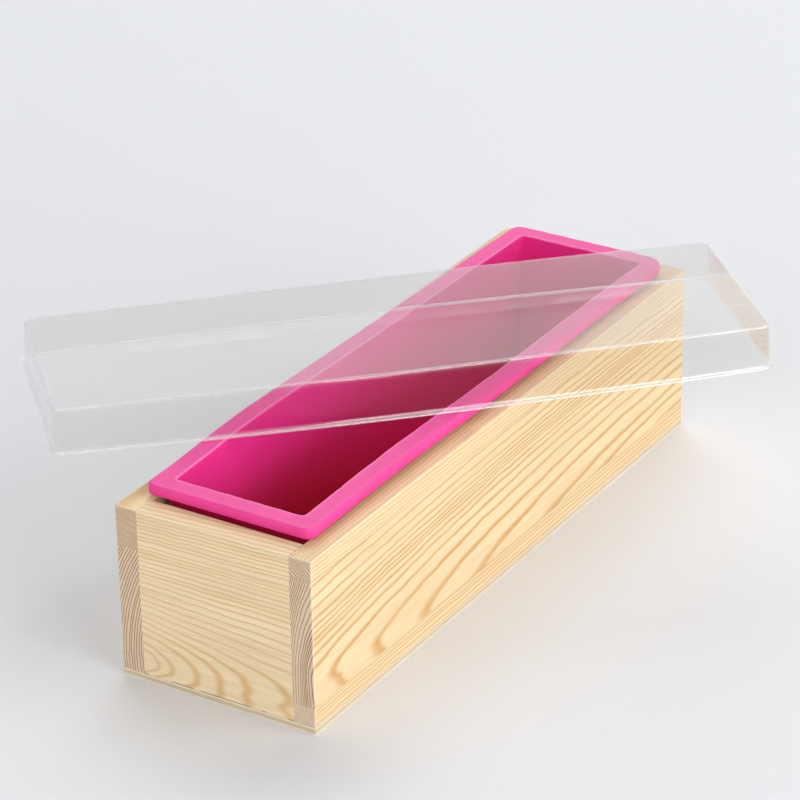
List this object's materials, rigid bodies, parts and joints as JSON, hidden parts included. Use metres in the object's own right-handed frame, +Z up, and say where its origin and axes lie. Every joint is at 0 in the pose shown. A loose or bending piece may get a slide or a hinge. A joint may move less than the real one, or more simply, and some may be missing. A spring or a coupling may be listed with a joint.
{
  "type": "soap loaf mould",
  "caption": "Long pine box on a plywood base with a flanged silicone liner standing in it and a shallow clear lid laid crosswise on top.",
  "frame": {"origin": "middle of the box's footprint, on the underside of the plywood base", "axes": "+Z up, +Y along the box towards the far end that the liner is pushed against, +X across the box to its right side"},
  "size_m": [0.2702, 0.3, 0.1019],
  "materials": {
    "pine_end_board": "sanded, unfinished, fine straight grain",
    "pine_board": "sanded, unfinished, arched grain",
    "pine_strip": "sanded, unfinished, straight grain",
    "ply_face": "sawn veneer edge",
    "ply_core": "sawn end-grain veneer edge",
    "pin_steel": "bright drawn wire",
    "pink_silicone": "satin",
    "clear_sheet": "clear, glossy, faintly hazed on the formed walls"
  },
  "bodies": {
    "box": {"near_end_board": "pine_end_board", "far_end_board": "pine_end_board", "left_side_top_strip": "pine_strip", "left_side_middle_strip": "pine_board", "left_side_bottom_strip": "pine_strip", "right_side_top_strip": "pine_strip", "right_side_middle_strip": "pine_board", "right_side_bottom_strip": "pine_strip", "base_top_ply": "ply_face", "base_core_ply": "ply_core", "base_bottom_ply": "ply_face", "corner_pins": "pin_steel", "base_pins": "pin_steel"},
    "liner": {"silicone_liner": "pink_silicone"},
    "lid": {"clear_lid": "clear_sheet"}
  },
  "joints": [
    {"name": "liner_lift", "type": "slide", "parent": "box", "child": "liner", "axis": [0, 0, 1], "range_m": [0, 0.09]},
    {"name": "lid_lift", "type": "slide", "parent": "liner", "child": "lid", "axis": [0, 0, 1], "range_m": [0, 0.06]}
  ]
}
